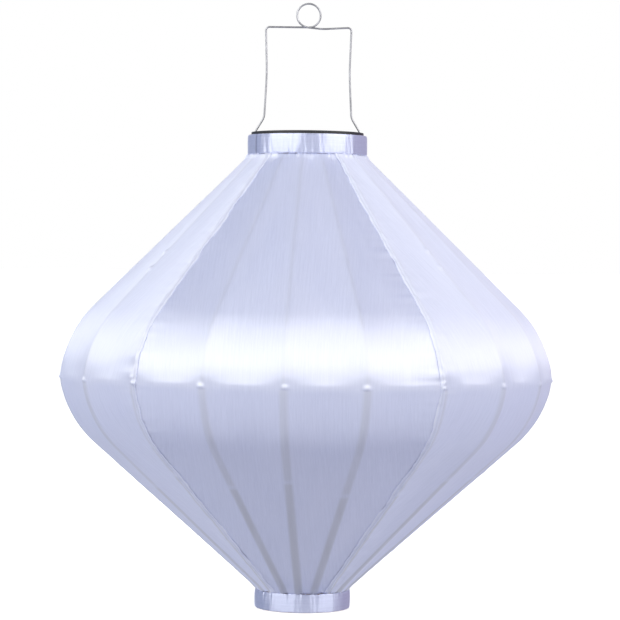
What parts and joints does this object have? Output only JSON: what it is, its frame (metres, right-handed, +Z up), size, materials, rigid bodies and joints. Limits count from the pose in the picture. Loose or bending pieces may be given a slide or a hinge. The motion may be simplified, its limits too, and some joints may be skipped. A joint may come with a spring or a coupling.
{
  "type": "bamboo-ribbed satin lantern",
  "caption": "Rounded diamond lantern of satin over bamboo ribs, with a wire bail and a drop-in solar lamp.",
  "frame": {"origin": "centre of the lower ring's underside, at the bottom of the lantern's box", "axes": "+Z up along the lantern's axis through the hanging loop, front towards -Y, bail in the XZ plane"},
  "size_m": [0.3988, 0.3988, 0.4892],
  "materials": {
    "bamboo": "split bamboo, planed",
    "satin": "pale lavender satin",
    "turned_wood": "turned, unvarnished",
    "steel_wire": "drawn and galvanised",
    "cotton_thread": "twisted thread",
    "black_plastic": "fine moulded texture",
    "switch_plastic": "moulded",
    "screw_steel": "zinc plated",
    "seal_rubber": "soft",
    "solar_silicon": "dark blue with fine fingers",
    "clear_cover": "clear epoxy",
    "board_green": "solder mask",
    "lead_insulation": "insulated wire",
    "led_epoxy": "clear epoxy",
    "frosted_lens": "frosted",
    "battery_sleeve": "shrink sleeve",
    "contact_steel": "nickel plated"
  },
  "bodies": {
    "lantern": {"rib_01": "bamboo", "rib_02": "bamboo", "rib_03": "bamboo", "rib_04": "bamboo", "rib_05": "bamboo", "rib_06": "bamboo", "rib_07": "bamboo", "rib_08": "bamboo", "rib_09": "bamboo", "rib_10": "bamboo", "rib_11": "bamboo", "rib_12": "bamboo", "rib_13": "bamboo", "rib_14": "bamboo", "rib_15": "bamboo", "rib_16": "bamboo", "rib_17": "bamboo", "rib_18": "bamboo", "rib_19": "bamboo", "rib_20": "bamboo", "satin_panel_1": "satin", "satin_panel_2": "satin", "satin_panel_3": "satin", "satin_panel_4": "satin", "satin_panel_5": "satin", "top_ring": "turned_wood", "bottom_ring": "turned_wood", "equator_hoop": "steel_wire", "hoop_lashings": "cotton_thread", "top_binding": "steel_wire", "bottom_binding": "steel_wire", "top_collar": "satin", "bottom_collar": "satin", "top_cap": "black_plastic", "cap_screws": "screw_steel"},
    "bail": {"bail": "steel_wire"},
    "lamp": {"lamp_housing": "black_plastic", "lamp_base": "black_plastic", "lamp_gasket": "seal_rubber", "housing_screws": "screw_steel", "solar_cell": "solar_silicon", "cell_window": "clear_cover", "circuit_board": "board_green", "cell_leads": "lead_insulation", "led": "led_epoxy", "led_lens": "frosted_lens", "battery": "battery_sleeve", "battery_contacts": "contact_steel", "battery_leads": "lead_insulation", "battery_cover": "black_plastic", "cover_screw": "screw_steel", "switch_case": "switch_plastic"},
    "switch": {"switch_slider": "switch_plastic"}
  },
  "joints": [
    {"name": "bail_swing", "type": "hinge", "parent": "lantern", "child": "bail", "pos_m": [0, 0, 0.3813], "axis": [1, 0, 0], "range_deg": [-80, 80]},
    {"name": "lamp_lift", "type": "slide", "parent": "lantern", "child": "lamp", "axis": [0, 0, 1], "range_m": [0, 0.04]},
    {"name": "switch_slide", "type": "slide", "parent": "lamp", "child": "switch", "axis": [1, 0, 0], "range_m": [0, 0.003]}
  ]
}
